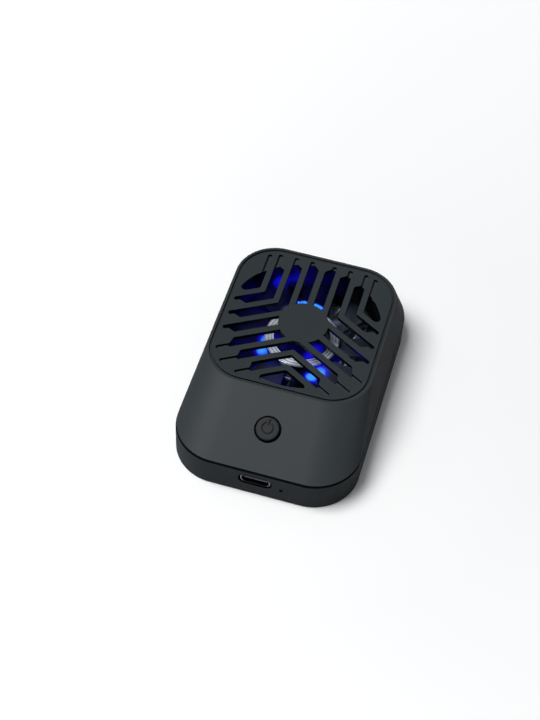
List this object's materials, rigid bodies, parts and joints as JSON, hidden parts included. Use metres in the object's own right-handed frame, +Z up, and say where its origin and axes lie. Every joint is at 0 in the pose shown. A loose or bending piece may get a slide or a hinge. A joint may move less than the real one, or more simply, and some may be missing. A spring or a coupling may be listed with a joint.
{
  "type": "phone cooling fan",
  "caption": "Magnetic phone cooler: wedge-shaped housing with a slotted grille over a small fan, a round push button, a charging socket and a flat contact face.",
  "frame": {"origin": "middle of the base's box on the contact face, the plane that lies on the phone", "axes": "+Z up from the contact face, +Y towards the back with the exhaust slots, the sloping front with the button and the socket faces -Y, +X to the right seen from the front"},
  "size_m": [0.055, 0.0804, 0.0208],
  "materials": {
    "shell_plastic": "fine moulded texture, satin charcoal",
    "grille_plastic": "fine moulded texture, satin charcoal",
    "button_plastic": "satin charcoal with an engraved power sign",
    "nylon": "plain",
    "black_plastic": "plain",
    "circuit_board": "solder mask",
    "screw_steel": "blackened",
    "bright_steel": "bright",
    "plated_steel": "nickel plated",
    "clear_plastic": "clear",
    "silicone": "matte",
    "aluminium": "milled",
    "white_ceramic": "matte",
    "pellet_metal": "cut",
    "foam": "closed cell",
    "magnet": "nickel plated",
    "copper": "enamelled wire",
    "bearing_bronze": "sintered",
    "smoke_plastic": "smoke grey",
    "hub_metal": "polished with fine turning marks",
    "lead_cover": "plain"
  },
  "bodies": {
    "housing": {"base_shell": "shell_plastic", "upper_housing": "shell_plastic", "grille_plate": "grille_plastic", "thrust_pad": "nylon", "switch_body": "black_plastic", "board_components": "black_plastic", "usb_insert": "black_plastic", "fan_frame": "black_plastic", "button_board": "circuit_board", "main_board": "circuit_board", "fan_board": "circuit_board", "button_board_screws": "screw_steel", "board_screws": "screw_steel", "fan_screws": "screw_steel", "housing_screws": "screw_steel", "usb_shell": "bright_steel", "magnet_shield": "plated_steel", "stator_core": "plated_steel", "indicator_led": "clear_plastic", "indicator_lens": "clear_plastic", "fan_lights": "clear_plastic", "contact_pad": "silicone", "cold_plate": "aluminium", "heat_sink": "aluminium", "module_cold_face": "white_ceramic", "module_hot_face": "white_ceramic", "module_pellets": "pellet_metal", "foam_gasket": "foam", "magnet_segments": "magnet", "stator_coils": "copper", "shaft_bearing": "bearing_bronze", "module_leads": "lead_cover", "fan_lead": "lead_cover", "button_lead": "lead_cover"},
    "rotor": {"impeller": "smoke_plastic", "hub_ring": "hub_metal", "rotor_yoke": "plated_steel", "rotor_magnet": "magnet", "fan_shaft": "bright_steel", "shaft_clip": "nylon"},
    "button": {"power_button": "button_plastic", "switch_plunger": "nylon"}
  },
  "joints": [
    {"name": "rotor_spin", "type": "hinge", "parent": "housing", "child": "rotor", "pos_m": [0, 0.0088, 0.0121], "axis": [0, 0, 1], "continuous": true},
    {"name": "button_press", "type": "slide", "parent": "housing", "child": "button", "axis": [0, 0.4209, -0.9071], "range_m": [0, 0.0003], "stiffness_N_per_m": 5000}
  ]
}
